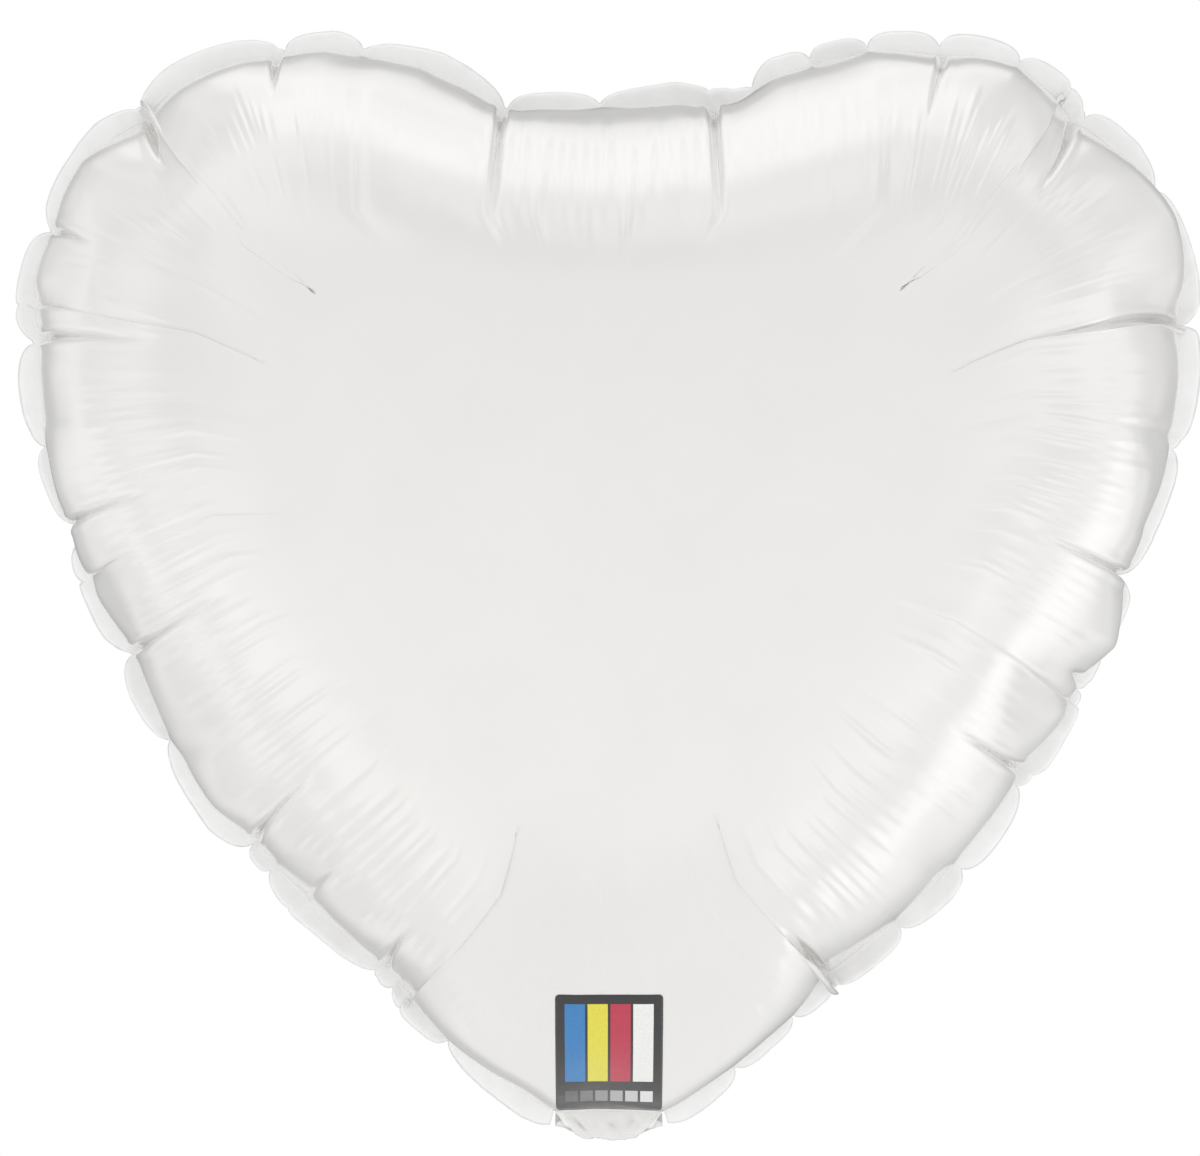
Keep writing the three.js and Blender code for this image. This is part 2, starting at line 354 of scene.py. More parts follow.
def across(at, centre, length):
    """Signed distance from one place on the weld line to others, the short way round."""
    return (at - centre + length / 2) % length - length / 2


def column_shares(at, length):
    """Where the columns of a film's mesh stand, in steps of the evenly spaced rim points: they are
    close together at creases and where petals part."""
    gap = np.full(len(at), COLUMN_GAP)
    for start, *_ in CREASES:
        closer = AT_CREASES * np.exp(-((across(at, start, length) / 5) ** 4))
        gap = np.minimum(gap, COLUMN_GAP - closer)
    for end in PETAL_ENDS:
        closer = AT_PETAL_ENDS * np.exp(-((across(at, end, length) / 2.5) ** 4))
        gap = np.minimum(gap, COLUMN_GAP - closer)
    total = np.concatenate([[0], np.cumsum(length / len(at) / blurred(gap, 4))])
    count = round(total[-1])
    return np.interp(np.arange(count) * total[-1] / count, total, np.arange(len(at) + 1))


def spread(shares, count, depth):
    """Columns' places at a depth: as they stand at the weld line, and evenly spaced far from it."""
    share = np.clip((depth - SPREAD_START) / (SPREAD_END - SPREAD_START), 0, 1)
    even = np.arange(len(shares)) * count / len(shares)
    return shares + (even - shares) * share * share * (3 - 2 * share)


def columns_of(ring, shares):
    """A ring's points at given shares of the way round, on a smooth curve through its own points."""
    low = shares.astype(int)
    t = (shares - low)[:, None]
    a, b, c, d = (ring[(low + k) % len(ring)] for k in (-1, 0, 1, 2))
    return b + 0.5 * t * (c - a + t * (2 * a - 5 * b + 4 * c - d + t * (3 * (b - c) + d - a)))


def furrows(at, deep, length, rng):
    """How far the main creases draw the film in."""
    sunk = np.zeros(at.shape)
    for start, reach, slant, depth in CREASES:
        t = np.clip(deep / reach, 0, 1)
        bend = rng.uniform(-0.8, 0.8) * np.sin(math.pi * t)
        u = across(at, start + slant * t**1.2 + bend, length)
        start_in = 0.7 + 0.3 * np.minimum(1, deep / 12)
        slit = np.clip(1 - (t / 0.9) ** 3, 0, 1) + 0.1 * (1 - t)
        sharp = np.exp(-((np.abs(u) / 0.8) ** 1.3))
        wide = np.exp(-((u / 6.5) ** 2))
        lips = np.exp(-(((np.abs(u) - 2.8) / 1.3) ** 2))
        dent = np.clip(1 - t**2.2, 0, 1)
        sunk += depth * start_in * (slit * sharp + dent * (0.3 * wide - 0.16 * lips))
    return sunk


def fine_wrinkles(at, deep, length, rng):
    """Height of the fine ridges that run inwards from the weld line."""
    places, strengths = np.array(WRINKLED, float).T
    height = np.zeros(at.shape)
    where = -length / 2
    while where < length / 2:
        strength = np.interp(where, places, strengths)
        pitch = rng.uniform(3.0, 4.4)
        start = rng.uniform(30, 56)
        end = start + rng.uniform(40, 66) * (0.5 + 0.5 * strength)
        slant = rng.normal(0, 1)
        width = 0.32 * pitch
        t = np.clip((deep - start) / (end - start), 0, 1)
        u = across(at, where + slant * t, length)
        size = strength * rng.uniform(0.25, 0.55)
        near = np.abs(u) < 3 * width
        height[near] += (size * np.sin(math.pi * t) ** 0.7 * np.exp(-((u / width) ** 2)))[near]
        where += pitch
    for start, *_ in CREASES:
        height *= 1 - np.exp(-((across(at, start, length) / 5) ** 4))
    return height


def pillows(at, deep, length):
    """How far the film bulges between one main crease and the next."""
    starts = np.sort([c[0] for c in CREASES])
    starts = np.concatenate([starts, [starts[0] + length]])
    place = np.where(at < starts[0], at + length, at)
    k = np.clip(np.searchsorted(starts, place + 1e-9) - 1, 0, len(starts) - 2)
    share = np.clip((place - starts[k]) / (starts[k + 1] - starts[k]), 0, 1)
    size = 1.1 * np.minimum(1, (starts[k + 1] - starts[k]) / 50)
    arch = np.sin(math.pi * share) ** 0.7
    return size * arch * np.exp(-(((deep - 16) / 20) ** 2)) * np.minimum(1, deep / 8)


def petals(at, rng):
    """Width of the margin along the weld line, and how far its edge leans to the back."""
    ends = np.array(PETAL_ENDS, float)
    width = np.full(at.shape, 0.3 * MARGIN)
    lean = np.zeros(at.shape)
    for low, high in zip(ends, ends[1:]):
        inside = (at >= low) & (at < high)
        share = (at[inside] - low) / (high - low)
        full = MARGIN * (1 - math.exp(-(high - low) / 9))
        arch = (1 - np.abs(2 * share ** rng.uniform(0.8, 1.25) - 1) ** 3.2) ** 0.55
        width[inside] = full * (0.3 + 0.7 * arch)
        lean[inside] = rng.choice([-1, 1]) * rng.uniform(0.4, 1.8) * arch
    return width, lean


def normals_of(places, faces):
    """Unit normal at each point of a mesh of triangles or quads."""
    out = np.zeros_like(places)
    corners = faces.shape[1]
    for k in range(corners):
        before, here, after = (places[faces[:, (k + j) % corners]] for j in (-1, 0, 1))
        n = np.cross(here - before, after - here)
        for axis in range(3):
            out[:, axis] += np.bincount(faces[:, k], n[:, axis], len(places))
    return out / (np.linalg.norm(out, axis=1)[:, None] + 1e-12)


def strip_faces(first, second, count):
    """Quads between two closed rows of points, facing the front."""
    i = np.arange(count)
    j = (i + 1) % count
    return np.stack([first + i, first + j, second + j, second + i], 1)


def smoothed_ring(film, ring, weld, depth):
    """Places of a ring of the flat cut, without the film's coarse buckles along it."""
    rounds = round(BUCKLE_ROUNDS * min(1, (INNERMOST - depth) / 16))
    return weld + blurred(film.places(ring) - weld, rounds)


class Panel:
    """The front film's mesh before its wrinkles: rings of points from the weld line in, then a
    coarser middle."""

    def __init__(self):
        film = Film()
        rings = rings_inside(closed_outline(CUT_HALF, RIM_POINTS), DEPTHS)
        weld = film.places(rings[0])
        self.length = along(closed_outline(WELD_HALF, RIM_POINTS))[-1]
        at_weld = column_shares(self.distances(weld), self.length)
        self.count = len(at_weld)
        shares = [spread(at_weld, RIM_POINTS, depth) for depth in DEPTHS]
        run = along(weld) * self.length / along(weld)[-1]
        self.at_rows = self.short_way(np.interp(shares, np.arange(RIM_POINTS + 1), run))
        smooth = [smoothed_ring(film, ring, weld, depth) for ring, depth in zip(rings[:-1], DEPTHS)]
        outer = [columns_of(ring, s) for ring, s in zip(smooth, shares)]
        coarser = [drawn_in(rings[-1], 2.5), drawn_in(rings[-1], 6)]
        coarser = [resample(r, n) for r, n in zip(coarser, (420, 200))]
        middle = np.vstack([columns_of(rings[-1], shares[-1]), *coarser, hex_grid(coarser[-1], 7, 4.5)])
        base = (len(rings) - 1) * self.count
        self.places = np.vstack([*outer, film.places(middle)])
        starts = np.arange(len(rings)) * self.count
        self.quads = np.vstack([strip_faces(b, a, self.count) for a, b in zip(starts, starts[1:])])
        self.triangles = triangulate(self.count, middle) + base
        self.rows = len(rings)
        self.at = self.distances(self.places[: self.count])
        self.shift_edge()
        self.normals = normals_of(self.places, self.quads)
        self.normals[base:] = normals_of(self.places, self.triangles)[base:]

    def distances(self, rim):
        """How far along the weld line each of a ring of points is, clockwise from the notch."""
        run = along(rim)
        return self.short_way(run[:-1] * self.length / run[-1])

    def short_way(self, run):
        """Distances clockwise from the notch, as less than half the way round to either side."""
        return np.where(run > self.length / 2, run - self.length, run)

    def shift_edge(self):
        """Pulls the weld line in where the seam says so, and bulges the film over the margin elsewhere."""
        deep = np.array(DEPTHS, float)[:, None]
        shift = blurred(np.interp(self.at, *np.array(SEAM, float).T), 4)
        drawn = np.minimum(shift, 0) * np.exp(-((deep / 28) ** 2))
        over = np.maximum(shift, 0) * deep / 10 * np.exp(1 - deep / 10)
        self.out = np.zeros((self.count, 3))
        self.out[:, [0, 2]] = blurred(outward(self.places[: self.count][:, [0, 2]]), 12)
        moved = (drawn + over)[..., None] * self.out
        self.places[: self.rows * self.count] += moved.reshape(-1, 3)

    def wrinkled(self, seed):
        """Its points with wrinkles, creases and pillows."""
        rng = np.random.default_rng(seed)
        at = self.at_rows
        deep = np.repeat(np.array(DEPTHS, float)[:, None], self.count, 1)
        height = fine_wrinkles(at, deep, self.length, rng)
        height += pillows(at, deep, self.length)
        height -= furrows(at, deep, self.length, np.random.default_rng(7))
        height *= np.clip((INNERMOST - deep) / 8, 0, 1) * np.minimum(1, deep / 5)
        places = self.places.copy()
        rim = self.rows * self.count
        # No wrinkles where the columns run together, far from the weld line.
        grid = places[:rim].reshape(self.rows, self.count, 3)
        apart = np.linalg.norm(np.roll(grid, -1, 1) - np.roll(grid, 1, 1), axis=2)
        apart /= across(np.roll(at, -1, 1), np.roll(at, 1, 1), self.length)
        height *= np.clip((apart - 0.3) / 0.3, 0, 1)
        places[:rim] += self.normals[:rim] * height.reshape(-1, 1)
        dip = np.zeros(self.count)
        for start, _, _, depth in CREASES:
            near = np.exp(-np.abs(across(self.at, start, self.length)) / 1.4)
            dip = np.maximum(dip, 0.4 * depth * near)
        for k, part in enumerate((1, 0.8, 0.6, 0.4, 0.2)):
            places[k * self.count : (k + 1) * self.count] -= self.out * (dip * part)[:, None]
        return places

    def margin(self, rim):
        """Rows of points from the weld line out to the margin's edge, leaning and rippled."""
        width, lean = petals(self.at, np.random.default_rng(11))
        ripple = blurred(np.random.default_rng(12).normal(0, 1, self.count), 6)
        rows = []
        for k in range(1, MARGIN_ROWS + 1):
            t = k / MARGIN_ROWS
            row = rim + self.out * (width * t)[:, None]
            row[:, 1] = lean * t**1.5 + ripple * 0.9 * t + (0.7 if k == MARGIN_ROWS else 0)
            rows.append(row)
        return np.vstack(rows)

    def in_mouth(self):
        """Which of its columns, and the next one round, lie in the open mouth at the neck."""
        mouth = np.abs(self.at) > self.length / 2 - NECK_HALF_WIDTH - 0.5
        return mouth & np.roll(mouth, -1)


# ---- Making objects ------------------------------------------------------------------------------


def mesh_object(name, places, faces, numbers, materials):
    """A Blender object from points in millimetres and faces, each with its material's number."""
    mesh = bpy.data.meshes.new(name)
    mesh.from_pydata((np.asarray(places) * MM).tolist(), [], faces)
    for material in materials:
        mesh.materials.append(material)
    mesh.polygons.foreach_set("material_index", numbers)
    mesh.polygons.foreach_set("use_smooth", [True] * len(faces))
    obj = bpy.data.objects.new(name, mesh)
    bpy.context.scene.collection.objects.link(obj)
    return obj


def thicken(obj, thickness):
    """Gives a film its thickness, on the side away from its normals."""
    solidify = obj.modifiers.new("thickness", "SOLIDIFY")
    solidify.thickness = thickness * MM
    solidify.offset = -1
    made = bpy.data.meshes.new_from_object(obj.evaluated_get(bpy.context.evaluated_depsgraph_get()))
    obj.modifiers.clear()
    obj.data = made
    made.name = obj.name


def film_object(name, panel, seed, side, materials):
    """One foil film. side is -1 for the front one, which faces -Y, and 1 for the back one."""
    places = panel.wrinkled(seed)
    edge = panel.margin(places[: panel.count])
    base = len(places)
    if side > 0:
        places[:, 1] *= -1
    places = np.vstack([places, edge])
    places[:, 1] += side * SEAM_LIFT
    rows = [0] + [base + k * panel.count for k in range(MARGIN_ROWS)]
    closed = ~panel.in_mouth()
    margin = np.vstack([strip_faces(a, b, panel.count)[closed] for a, b in zip(rows, rows[1:])])
    faces = panel.quads.tolist() + panel.triangles.tolist() + margin.tolist()
    numbers = [0] * (len(faces) - len(margin)) + [1] * len(margin)
    if side > 0:
        faces = [f[::-1] for f in faces]
    obj = mesh_object(name, places, faces, numbers, materials)
    thicken(obj, FILM_THICK)
    return obj


# ---- Printed label -------------------------------------------------------------------------------

LABEL_HALF = 16.5
LABEL_LOW = 1.8
LABEL_HIGH = 41
LABEL_BORDER = 2.9
LABEL_BAND = 10.5  # height of the black band below the colour bars
LABEL_CORNER = 1.2
LABEL_LIFT = 0.16
LABEL_THICK = 0.1
IN_FRONT = -0.3  # metres along Y, well clear of the front film
BAR_GAP = 0.8
GREY_STEPS = 6


def box_loop(low, high, corner=0.0):
    """A rectangle as a closed line, with round corners."""
    if corner == 0:
        return np.array([(low[0], low[1]), (low[0], high[1]), (high[0], high[1]), (high[0], low[1])])
    turns = np.linspace(0, math.pi / 2, 6)
    loop = []
    for k, (x, z) in enumerate([(low[0], high[1]), high, (high[0], low[1]), low]):
        cx = x + corner * (1 if k in (0, 3) else -1)
        cz = z + corner * (1 if k in (2, 3) else -1)
        angles = [math.pi * (1 - k / 2) - a for a in turns]
        loop += [(cx + corner * math.cos(a), cz + corner * math.sin(a)) for a in angles]
    return np.array(loop)


def dense(loop, step):
    """A closed line with extra points, no further apart than a step."""
    out = []
    for a, b in zip(loop, np.roll(loop, -1, 0)):
        n = max(1, math.ceil(np.linalg.norm(b - a) / step))
        out += [a + (b - a) * k / n for k in range(n)]
    return np.array(out)


def label_fields():
    """The label's printed fields as closed lines, each with its ink: colour bars and grey steps."""
    left, right = -LABEL_HALF + LABEL_BORDER, LABEL_HALF - LABEL_BORDER
    low, high = LABEL_LOW + LABEL_BAND, LABEL_HIGH - LABEL_BORDER
    inks = ("blue", "yellow", "red", "white")
    bar = (right - left - BAR_GAP * (len(inks) - 1)) / len(inks)
    fields = []
    for k, ink in enumerate(inks):
        x = left + k * (bar + BAR_GAP)
        fields.append((box_loop((x, low), (x + bar, high)), ink))
    step = (right - left - BAR_GAP * (GREY_STEPS - 1)) / GREY_STEPS
    base = LABEL_LOW + (LABEL_BAND - step) / 2
    for k in range(GREY_STEPS):
        x = left + k * (step + BAR_GAP)
        fields.append((box_loop((x, base), (x + step, base + step)), f"grey_{k}"))
    return fields


def plane_mesh(loops, step, clear):
    """Points and triangles inside the first closed line, with edges along all of them."""
    loops = [dense(loop, step) for loop in loops]
    grid = hex_grid(loops[0], step, clear)
    near = np.min([gap_to(loop, grid) for loop in loops], axis=0)
    points = np.vstack([*loops, grid[near > clear]])
    edges, base = [], 0
    for loop in loops:
        edges += [(base + i, base + (i + 1) % len(loop)) for i in range(len(loop))]
        base += len(loop)
    made = delaunay_2d_cdt([Vector(p) for p in points], edges, [], 0, 1e-6)
    faces = np.array(made[2])
    points = np.array([tuple(p) for p in made[0]])
    centres = points[faces].mean(1)
    faces, centres = (a[within(loops[0], centres)] for a in (faces, centres))
    turned = turn(*(points[faces[:, k]] for k in range(3))) < 0
    faces[turned] = faces[turned][:, ::-1]
    return points, faces, centres


def label_object(film_obj, inks):
    """The printed patch on the front film, square as seen from the front."""
    outline = box_loop((-LABEL_HALF, LABEL_LOW), (LABEL_HALF, LABEL_HIGH), LABEL_CORNER)
    fields = label_fields()
    points, faces, centres = plane_mesh([outline] + [loop for loop, _ in fields], 0.8, 0.3)
    names = ["black", *dict.fromkeys(ink for _, ink in fields)]
    numbers = np.zeros(len(faces), int)
    for loop, ink in fields:
        numbers[within(dense(loop, 1), centres)] = names.index(ink)
    tree = BVHTree.FromObject(film_obj, bpy.context.evaluated_depsgraph_get())
    places = []
    for x, z in points:
        hit, normal, *_ = tree.ray_cast((x * MM, IN_FRONT, z * MM), (0, 1, 0))
        places.append((hit + normal * LABEL_LIFT * MM) / MM)
    places = np.array([tuple(p) for p in places])
    materials = [inks[name] for name in names]
    obj = mesh_object("label_print", places, faces.tolist(), numbers, materials)
    thicken(obj, LABEL_THICK)
    return obj


# ---- Neck, tail and valve ------------------------------------------------------------------------

FOLD_CENTRE = (1.5, -6.8)  # (y, z) of the middle of the bend
FOLD_RADIUS = 1.6
TAIL_UP = math.radians(15)  # how far the tail rises on its way back behind the heart
TAIL_LENGTH = 62
TAIL_CORNER = 2.5
STRIP_TOP = 3.2  # the strip starts this far above the weld line, hidden inside the heart
SEAM_WIDTH = 3
INLET_RADIUS = 4
INLET_FROM_END = 17
LINER_HALF_WIDTH = 12
LINER_THICK = 0.08
LINER_INSET = 1.5  # how much shorter than the foil the valve's films are, at each end
LIP_LOW, LIP_HIGH = 6.6, 52  # height of the free ends of the valve
FOIL_OFFSET, LINER_OFFSET = 0.5, 0.15  # of a film from the middle of the strip
STRIP_SEED = 21  # one for all the strips, so that they crumple together


def bend_path(s, offset):
    """Place (y, z) at distances along the strip: down the neck, round the bend, back along the tail.
    The offset is to the outside of the bend."""
    straight = STRIP_TOP - FOLD_CENTRE[1]
    sweep = math.pi / 2 + TAIL_UP
    arc = FOLD_RADIUS * sweep
    angle = np.clip((s - straight) / FOLD_RADIUS, 0, sweep)
    radius = FOLD_RADIUS + offset
    y = FOLD_CENTRE[0] - radius * np.cos(angle)
    z = FOLD_CENTRE[1] - radius * np.sin(angle)
    before = np.minimum(s - straight, 0)
    after = np.maximum(s - straight - arc, 0)
    return y + after * math.cos(TAIL_UP), z - before + after * math.sin(TAIL_UP)


def strip_length():
    """Length of a foil strip from its hidden top, round the bend, to the tail's end."""
    return STRIP_TOP - FOLD_CENTRE[1] + FOLD_RADIUS * (math.pi / 2 + TAIL_UP) + TAIL_LENGTH


def crumple(x, s, rng):
    """Small pleats round the bend and faint ones further along the tail."""
    bend = STRIP_TOP - FOLD_CENTRE[1] + 2
    total = np.zeros(x.shape)
    for _ in range(26):
        middle, slant = rng.uniform(-16, 16), rng.uniform(-1.1, 1.1)
        width = rng.uniform(0.5, 1.6)
        reach = rng.uniform(3, 7)
        ridge = np.exp(-(((x - middle - slant * (s - bend)) / width) ** 2))
        total += rng.uniform(-0.9, 0.9) * ridge * np.exp(-(((s - bend) / reach) ** 2))
    for _ in range(9):
        middle, along_s = rng.uniform(-16, 16), rng.uniform(20, strip_length())
        turned = rng.uniform(-1.4, 1.4)
        u = (x - middle) * math.cos(turned) + (s - along_s) * math.sin(turned)
        v = (s - along_s) * math.cos(turned) - (x - middle) * math.sin(turned)
        total += rng.uniform(-0.35, 0.35) * np.exp(-((u / 0.9) ** 2)) * np.exp(-((v / 12) ** 2))
    return total


def strip_places(points, offset, seed):
    """Places of a strip's flat points (x, s), at an offset to the outside of the bend."""
    x, s = points.T
    bend = STRIP_TOP - FOLD_CENTRE[1] + 2
    share = np.abs(x) / NECK_HALF_WIDTH
    y, z = bend_path(s, offset)
    bow = 5.6 * share**2.6 * np.exp(-(((s - bend) / 7) ** 2))
    gather = 1 - 0.12 * np.exp(-(((s - bend) / 4) ** 2))
    belly = 1.2 * (1 - share**2) * np.exp(-(((s - bend) / 6) ** 2))
    wave = crumple(x, s, np.random.default_rng(seed))
    down = np.clip((s - bend + 4) / 8, 0, 1)
    y = y - (wave + belly) * (1 - down)
    z = z + bow - (wave + belly * 0.3) * down
    return np.stack([x * gather, y, z], 1)


def strip_outline(half_width, top, end, corner):
    """A strip's closed outline in the flat, from its top to its round-cornered end."""
    loop = box_loop((-half_width, top), (half_width, end), corner)
    square = [p for p in loop if p[1] > (top + end) / 2]
    return np.array([(-half_width, top), *square, (half_width, top)])


def strip_object(name, half_width, offset, seed, materials, hole=False, thickness=FILM_THICK):
    """One film of the neck and tail, or of the valve between them, flat on both sides of the bend."""
    end = strip_length()
    is_foil = half_width == NECK_HALF_WIDTH
    inset = 0 if is_foil else LINER_INSET
    outline = strip_outline(half_width, inset, end - inset, TAIL_CORNER)
    loops = [outline]
    if hole:
        a = np.arange(32) * math.tau / 32
        loops.append(np.stack([np.cos(a), np.sin(a)], 1) * INLET_RADIUS + (0, end - INLET_FROM_END))
    points, faces, centres = plane_mesh(loops, 1.0, 0.4)
    if hole:
        faces = faces[~within(loops[1], centres)]
        centres = points[faces].mean(1)
    used = np.unique(faces)
    number = np.zeros(len(points), int)
    number[used] = np.arange(len(used))
    points, faces = points[used], number[faces]
    places = strip_places(points, 0, seed)
    out = normals_of(places, faces)
    # The outside of the bend is the front, above the bend.
    if out[points[:, 1] < 4][:, 1].mean() > 0:
        out, faces = -out, faces[:, ::-1]
    lift = np.full(len(points), offset)
    if is_foil:
        # The seams down both sides pull the two foil films together.
        pinch = np.clip((NECK_HALF_WIDTH - SEAM_WIDTH - np.abs(points[:, 0])) / 1.5, 0, 1)
        lift = offset * (0.25 + 0.75 * pinch)
    places += out * lift[:, None]
    if offset < 0:
        faces = faces[:, ::-1]
    numbers = np.zeros(len(faces), int)
    if len(materials) > 1:
        numbers[np.abs(centres[:, 0]) > NECK_HALF_WIDTH - SEAM_WIDTH] = 1
    obj = mesh_object(name, places, faces.tolist(), numbers, materials)
    thicken(obj, thickness)
    return obj


def lip_object(name, side, material):
    """One free end of the valve, which hangs up inside the heart and closes under pressure."""
    outline = box_loop((-LINER_HALF_WIDTH, LIP_LOW), (LINER_HALF_WIDTH, LIP_HIGH), 1.5)
    points, faces, _ = plane_mesh([outline], 1.5, 0.6)
    x, z = points.T
    rise = (z - LIP_LOW) / (LIP_HIGH - LIP_LOW)
    wave = 0.25 * np.sin(x / 3.1 + 2 * rise) * rise + 0.4 * rise
    places = np.stack([x, side * (0.2 + wave), z], 1)
    if side > 0:
        faces = faces[:, ::-1]
    obj = mesh_object(name, places, faces.tolist(), np.zeros(len(faces), int), [material])
    thicken(obj, LINER_THICK)
    return obj


# ---- Materials -----------------------------------------------------------------------------------


def map_range(tree, value, start, end, low, high):
    """A value that runs from low to high while the given one runs from start to end."""
    node = tree.nodes.new("ShaderNodeMapRange")
    for key, number in (("From Min", start), ("From Max", end), ("To Min", low), ("To Max", high)):
        node.inputs[key].default_value = number
    tree.links.new(value, node.inputs["Value"])
    return node.outputs["Result"]


class Shading:
    """A new material's node tree, with short names for the nodes that these materials use."""

    def __init__(self, name):
        self.material = bpy.data.materials.new(name)
        self.material.use_nodes = True
        self.nodes, self.links = self.material.node_tree.nodes, self.material.node_tree.links
        self.shader = self.nodes["Principled BSDF"]
        self.place = self.nodes.new("ShaderNodeTexCoord").outputs["Object"]

    def set(self, **values):
        for key, value in values.items():
            self.shader.inputs[key.replace("_", " ")].default_value = value

    def noise(self, scale, detail=3.0):
        """Noise with a feature size in millimetres."""
        node = self.nodes.new("ShaderNodeTexNoise")
        node.inputs["Scale"].default_value = 1 / (scale * MM)
        node.inputs["Detail"].default_value = detail
        self.links.new(self.place, node.inputs["Vector"])
        return node.outputs["Fac"]

    def remap(self, value, low, high, start=0.3, end=0.7):
        return map_range(self.material.node_tree, value, start, end, low, high)

    def colour(self, value, first, second):
        node = self.nodes.new("ShaderNodeMix")
        node.data_type = "RGBA"
        self.links.new(value, node.inputs["Factor"])
        node.inputs[6].default_value = (*first, 1)
        node.inputs[7].default_value = (*second, 1)
        self.links.new(node.outputs[2], self.shader.inputs["Base Color"])

    def bump(self, *heights):
        """Bumps one on the other, each a height and its distance in millimetres."""
        before = None
        for height, distance in heights:
            node = self.nodes.new("ShaderNodeBump")
            node.inputs["Distance"].default_value = distance * MM
            node.inputs["Strength"].default_value = 1
            self.links.new(height, node.inputs["Height"])
            if before is not None:
                self.links.new(before, node.inputs["Normal"])
            before = node.outputs["Normal"]
        self.links.new(before, self.shader.inputs["Normal"])


def pearl_foil():
    """White pearl ink on metallised film, under a glossy clear film."""
    s = Shading("pearl_foil")
    s.set(Metallic=0.35, Coat_Weight=0.6, Coat_Roughness=0.1, Coat_IOR=1.5)
    s.colour(s.remap(s.noise(30, 3), 0, 1), (0.86, 0.85, 0.833), (0.875, 0.866, 0.848))
    s.links.new(s.remap(s.noise(8, 3), 0.2, 0.24), s.shader.inputs["Roughness"])
    s.bump((s.noise(9, 2), 0.01))
    return s.material


def welded_margin_painted_highlight():
    """The two films pressed together: duller, with the fine ripple of the hot bar, and a base colour
    lighter than the foil's that is painted highlight.
    """
    s = Shading("welded_margin_painted_highlight")
    s.set(Metallic=0.15, Coat_Weight=0.4, Coat_Roughness=0.15)
    # Painted highlight: this colour is lighter than the foil's so that the crinkled margin looks as bright
    # as where it catches the light.
    s.colour(s.remap(s.noise(4, 4), 0, 1), (0.94, 0.94, 0.935), (0.97, 0.97, 0.965))
    s.links.new(s.remap(s.noise(2, 4), 0.28, 0.4), s.shader.inputs["Roughness"])
    s.bump((s.noise(1.4, 3), 0.05), (s.noise(0.3, 2), 0.004))
    return s.material


def valve_film():
    """Milky polyethylene."""
    s = Shading("valve_film")
    s.set(Alpha=0.75)
    s.colour(s.remap(s.noise(6, 3), 0, 1), (0.72, 0.76, 0.77), (0.8, 0.83, 0.84))
    s.links.new(s.remap(s.noise(3, 3), 0.3, 0.45), s.shader.inputs["Roughness"])
    s.bump((s.noise(2.5, 3), 0.03))
    return s.material


INKS = {
    "black": (0.012, 0.012, 0.014), "blue": (0.02, 0.2, 0.5), "yellow": (0.75, 0.68, 0.05),
    "red": (0.5, 0.02, 0.06), "white": (0.84, 0.84, 0.82),
    **{f"grey_{k}": ((0.09 + 0.66 * (k / (GREY_STEPS - 1)) ** 1.4),) * 3 for k in range(GREY_STEPS)},
}  # fmt: skip


def ink_material(name, colour):
    """Printing ink, faintly mottled, under the same clear film as the foil."""
    s = Shading("ink_" + name)
    s.set(Coat_Weight=0.5, Coat_Roughness=0.12)
    lighter = tuple(min(1, c * 1.12 + 0.004) for c in colour)
    s.colour(s.remap(s.noise(0.7, 4), 0, 1), colour, lighter)
    s.links.new(s.remap(s.noise(3, 3), 0.3, 0.4), s.shader.inputs["Roughness"])
    s.bump((s.noise(2.5, 3), 0.01))
    return s.material


def floor_material():
    s = Shading("pale_floor")
    s.colour(s.remap(s.noise(300, 3), 0, 1), (0.95, 0.95, 0.95), (0.97, 0.97, 0.97))
    s.set(Roughness=0.8, Emission_Color=(1, 1, 1, 1), Emission_Strength=0.1)
    return s.material


# ---- Stage ---------------------------------------------------------------------------------------


def area_light(name, place, size, radiance, target):
    """A softbox. Its power follows from its size and how bright its face is."""
    light = bpy.data.lights.new(name, "AREA")
    light.shape = "RECTANGLE"
    light.size, light.size_y = size
    light.energy = radiance * math.pi * size[0] * size[1]
    obj = bpy.data.objects.new(name, light)
    obj.location = place
    obj.rotation_euler = (Vector(target) - Vector(place)).to_track_quat("-Z", "Y").to_euler()
    bpy.context.scene.collection.objects.link(obj)


# Brightness of the surroundings by direction, as the cosine of the angle from straight in front of
# the balloon: 1 is where the camera stands, and -1 is straight behind the balloon.
ROOM = [
    (-1, 0.45), (-0.82, 0.5), (-0.65, 0.82), (-0.5, 0.95), (0.0, 1.1), (0.3, 1.1), (0.55, 1.05),
    (1, 1.05),
]  # fmt: skip
ROOM_SCALE = 2.0  # the curve holds these divided by this, which keeps them below 1


def product(tree, first, second):
    node = tree.nodes.new("ShaderNodeMath")
    node.operation = "MULTIPLY"
    tree.links.new(first, node.inputs[0])
    tree.links.new(second, node.inputs[1])
    return node.outputs[0]


def room_curve(tree, y):
    """The ROOM curve's value for the Y of a direction."""
    facing = tree.nodes.new("ShaderNodeMath")
    facing.operation = "MULTIPLY_ADD"
    facing.inputs[1].default_value = -0.5
    facing.inputs[2].default_value = 0.5
    tree.links.new(y, facing.inputs[0])
    around = tree.nodes.new("ShaderNodeFloatCurve")
    points = around.mapping.curves[0].points
    for k, (cosine, value) in enumerate(ROOM):
        place = (0.5 + cosine / 2, value / ROOM_SCALE)
        if k < 2:
            points[k].location = place
        else:
            points.new(*place)
    around.mapping.update()
    tree.links.new(facing.outputs[0], around.inputs["Value"])
    return around.outputs[0]


